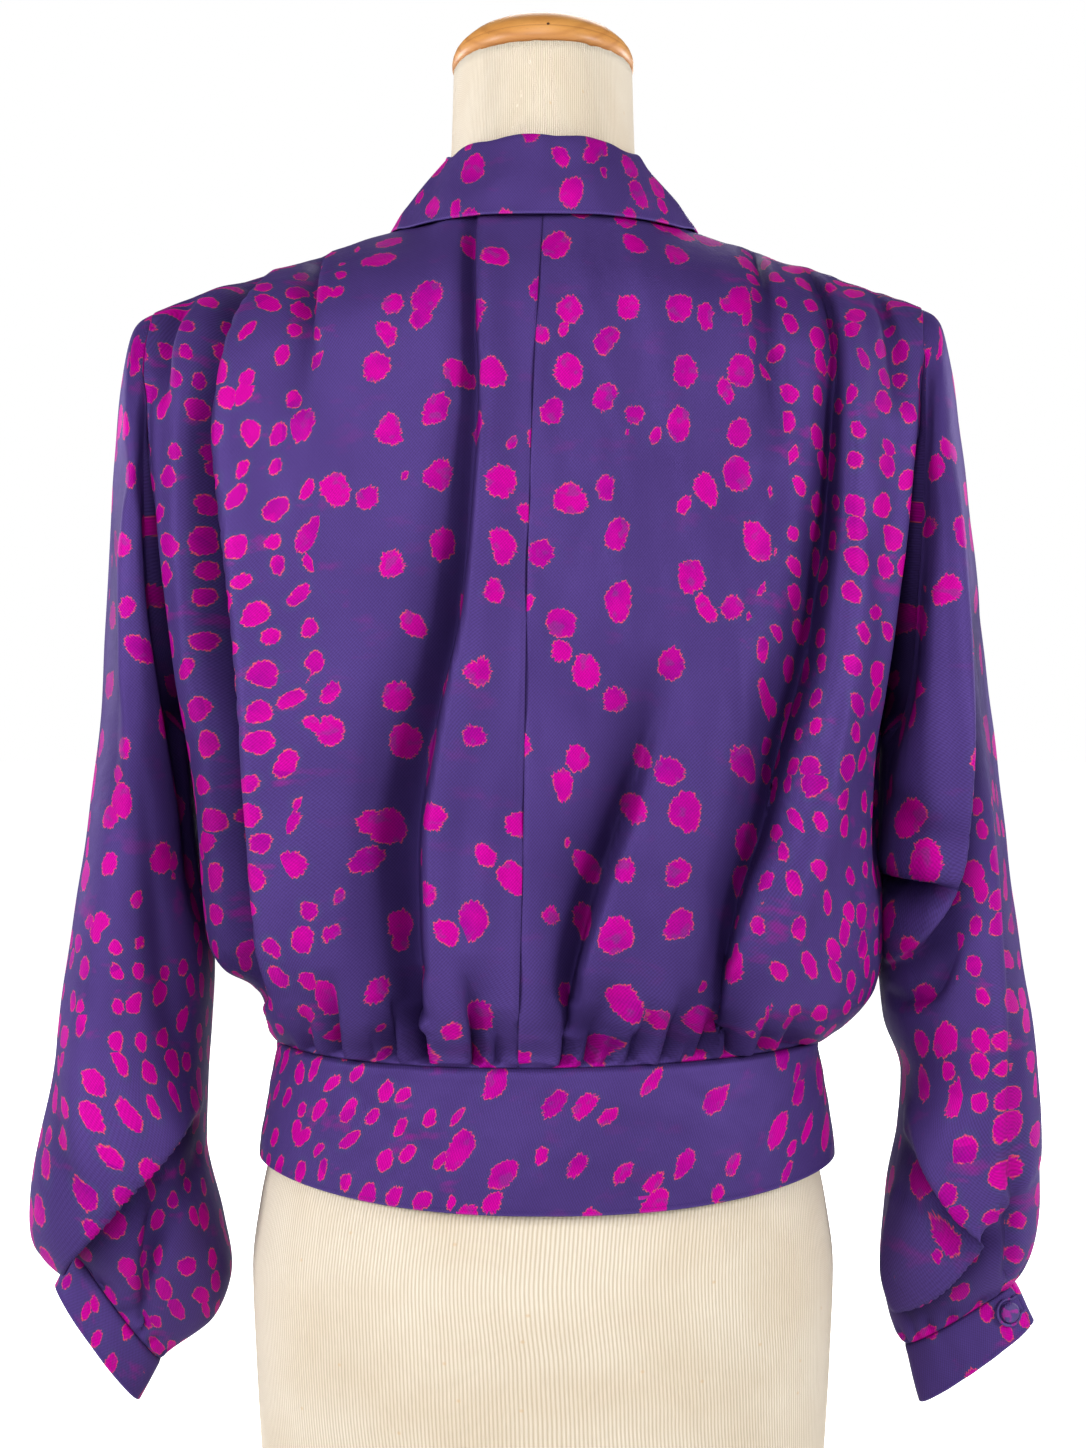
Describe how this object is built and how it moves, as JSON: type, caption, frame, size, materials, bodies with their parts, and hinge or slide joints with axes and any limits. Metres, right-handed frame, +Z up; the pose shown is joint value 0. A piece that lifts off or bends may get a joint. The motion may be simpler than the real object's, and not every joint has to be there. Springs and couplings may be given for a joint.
{
  "type": "blouse on dress form",
  "caption": "Long-sleeved satin blouse with turned collar, padded-looking shoulders, gathered cuffs and wide waistband, worn by a limbless dress form with a wooden neck cap.",
  "frame": {"origin": "centre of the dress form's flat underside, on the surface that it stands on", "axes": "+Z up; the garment's front faces -Y and its back +Y; +X is the wearer's left"},
  "size_m": [0.5965, 0.2723, 0.9058],
  "materials": {
    "satin": "soft satin sheen, violet with irregular magenta spots",
    "form_cloth": "matt ribbed cream knit",
    "form_wood": "varnished honey-brown wood"
  },
  "bodies": {
    "root": {"back_left": "satin", "back_right": "satin", "front_left": "satin", "front_right": "satin", "collar": "satin", "waistband": "satin", "sleeve_left": "satin", "sleeve_right": "satin", "cuff_left": "satin", "cuff_right": "satin", "button_front_1": "satin", "button_front_2": "satin", "button_front_3": "satin", "button_front_4": "satin", "button_band_1": "satin", "button_band_2": "satin", "button_cuff_left": "satin", "button_cuff_right": "satin", "loop_cuff_left": "satin", "loop_cuff_right": "satin", "form_torso": "form_cloth", "form_neck_cap": "form_wood"}
  },
  "joints": []
}
